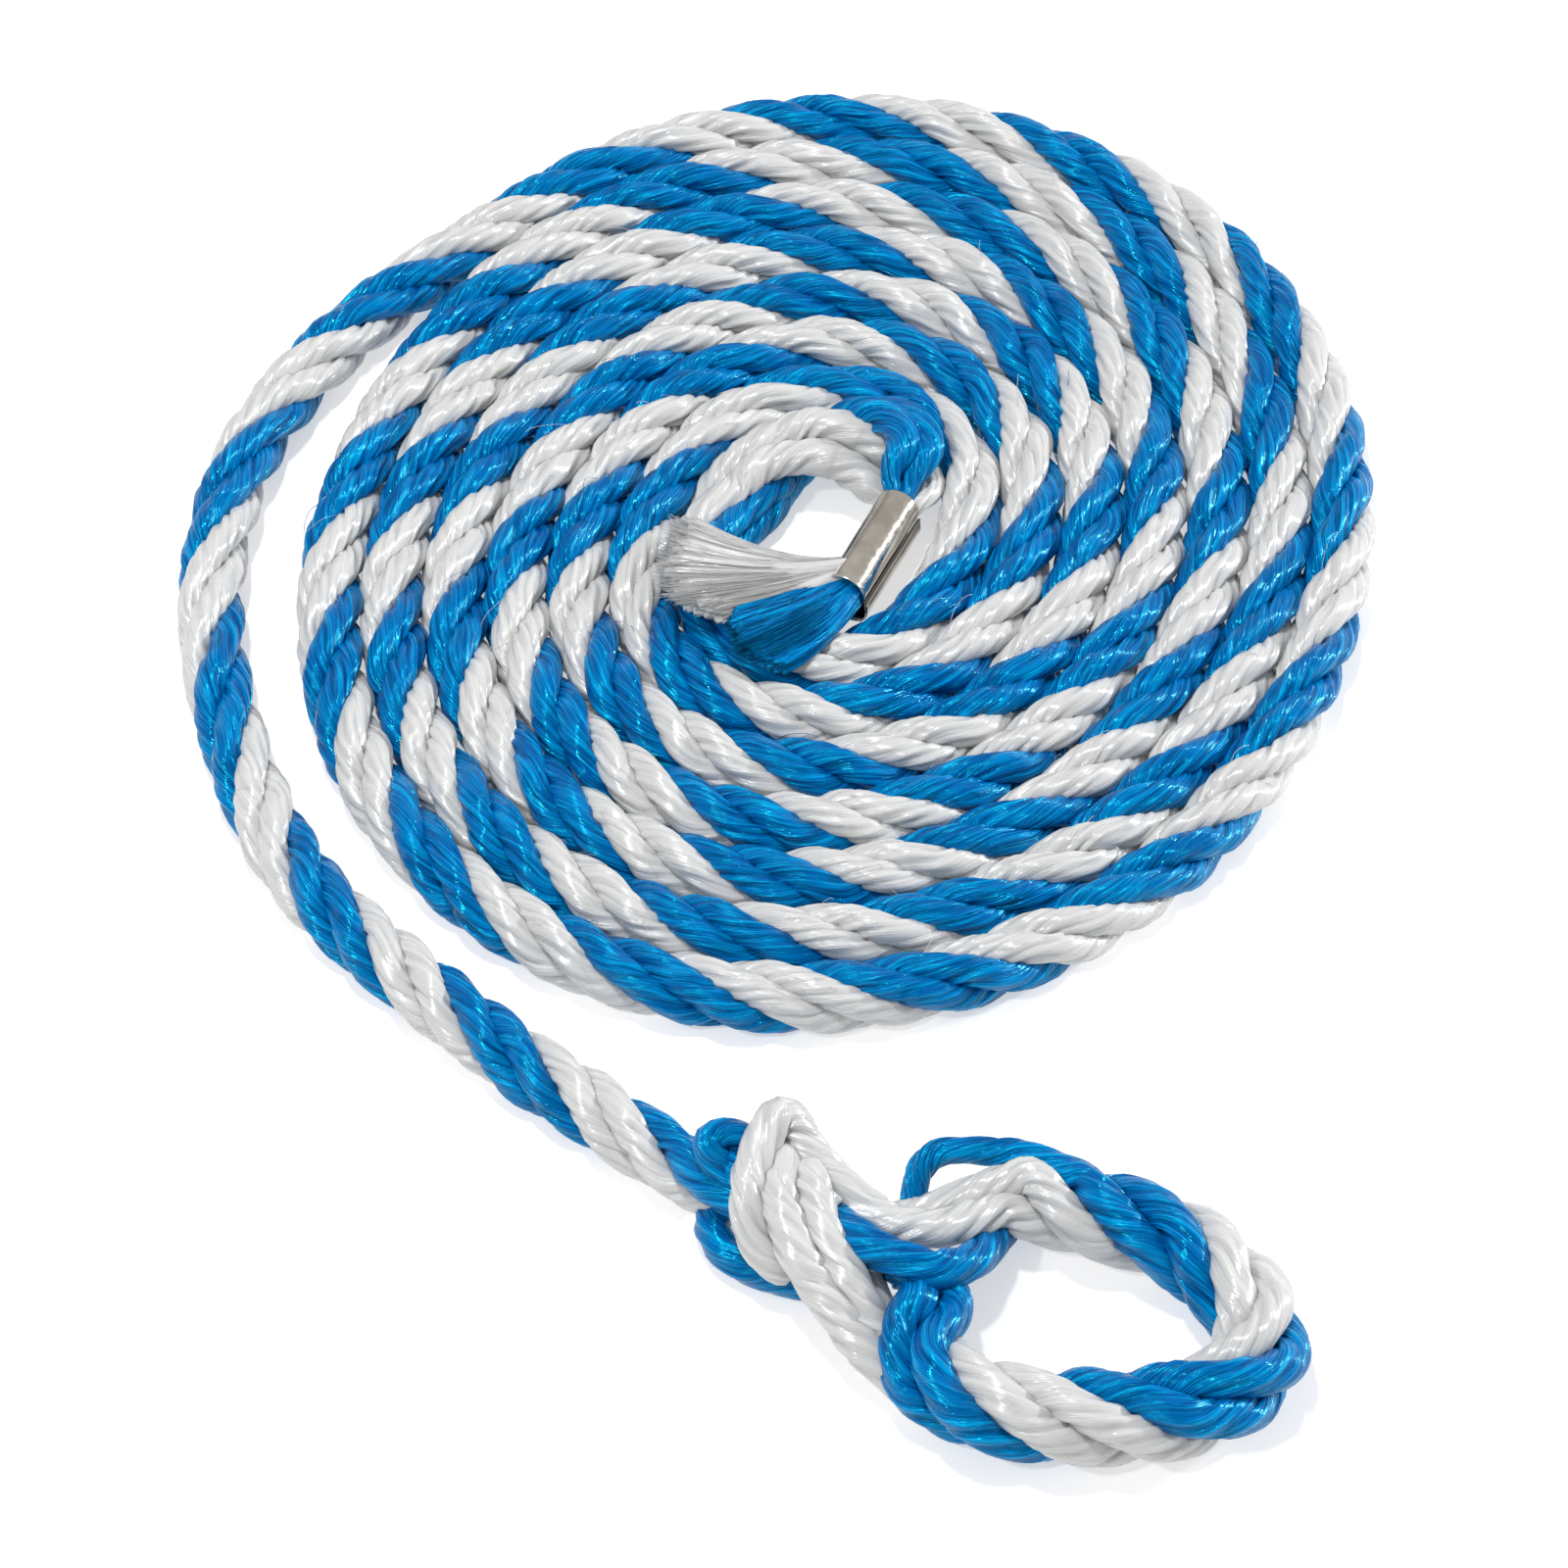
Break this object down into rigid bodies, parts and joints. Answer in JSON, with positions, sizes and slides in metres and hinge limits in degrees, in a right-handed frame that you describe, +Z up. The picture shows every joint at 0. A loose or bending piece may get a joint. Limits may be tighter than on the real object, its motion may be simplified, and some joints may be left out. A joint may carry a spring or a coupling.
{
  "type": "coiled dock line",
  "caption": "Laid dock line in two colours, lying in a flat spiral coil, with a spliced eye at its outer end and a metal ferrule with frayed strand ends at its inner end.",
  "frame": {"origin": "centre of the bounding box's bottom face, on the plane the line lies on", "axes": "+Z up; +Y from the eye towards the far side of the coil; +X to the right of that, the side the eye points to"},
  "size_m": [0.189, 0.2644, 0.0171],
  "materials": {
    "blue_polypropylene": "silky multifilament",
    "white_polypropylene": "silky multifilament, slightly translucent",
    "nickel_plated_steel": "polished plating"
  },
  "bodies": {
    "coil": {"coil_blue_a": "blue_polypropylene", "coil_blue_b": "blue_polypropylene", "coil_white_a": "white_polypropylene", "coil_white_b": "white_polypropylene"},
    "tail_upper": {"tail_upper_blue_a": "blue_polypropylene", "tail_upper_blue_b": "blue_polypropylene", "tail_upper_white_a": "white_polypropylene", "tail_upper_white_b": "white_polypropylene"},
    "tail_lower": {"tail_lower_blue_a": "blue_polypropylene", "tail_lower_blue_b": "blue_polypropylene", "tail_lower_white_a": "white_polypropylene", "tail_lower_white_b": "white_polypropylene"},
    "neck": {"neck_blue_a": "blue_polypropylene", "neck_blue_b": "blue_polypropylene", "neck_white_a": "white_polypropylene", "neck_white_b": "white_polypropylene"},
    "eye": {"eye_blue_a": "blue_polypropylene", "eye_blue_b": "blue_polypropylene", "eye_white_a": "white_polypropylene", "eye_white_b": "white_polypropylene", "tuck_blue_a": "blue_polypropylene", "tuck_blue_b": "blue_polypropylene", "tuck_white_a": "white_polypropylene", "tuck_white_b": "white_polypropylene"},
    "ferrule_end": {"ferrule": "nickel_plated_steel", "frayed_blue_a": "blue_polypropylene", "frayed_blue_b": "blue_polypropylene", "frayed_white_a": "white_polypropylene", "frayed_white_b": "white_polypropylene"}
  },
  "joints": [
    {"name": "ferrule_lift", "type": "hinge", "parent": "coil", "child": "ferrule_end", "pos_m": [0.02047, 0.03937, 0.00848], "axis": [-0.9826, 0.1855, 0], "range_deg": [0, 50]},
    {"name": "tail_swing", "type": "hinge", "parent": "coil", "child": "tail_upper", "pos_m": [-0.06811, 0.08257, 0.004], "axis": [0, 0, -1], "range_deg": [-2, 40]},
    {"name": "tail_lift", "type": "hinge", "parent": "tail_upper", "child": "tail_lower", "pos_m": [-0.08976, 0.01368, 0.004], "axis": [-0.9922, -0.1249, 0], "range_deg": [0, 45]},
    {"name": "neck_swing", "type": "hinge", "parent": "tail_lower", "child": "neck", "pos_m": [-0.05834, -0.05103, 0.004], "axis": [0, 0, -1], "range_deg": [-3, 40]},
    {"name": "eye_lift", "type": "hinge", "parent": "neck", "child": "eye", "pos_m": [-0.01569, -0.08594, 0.00369], "axis": [-0.5814, -0.8136, 0], "range_deg": [0, 45]}
  ]
}
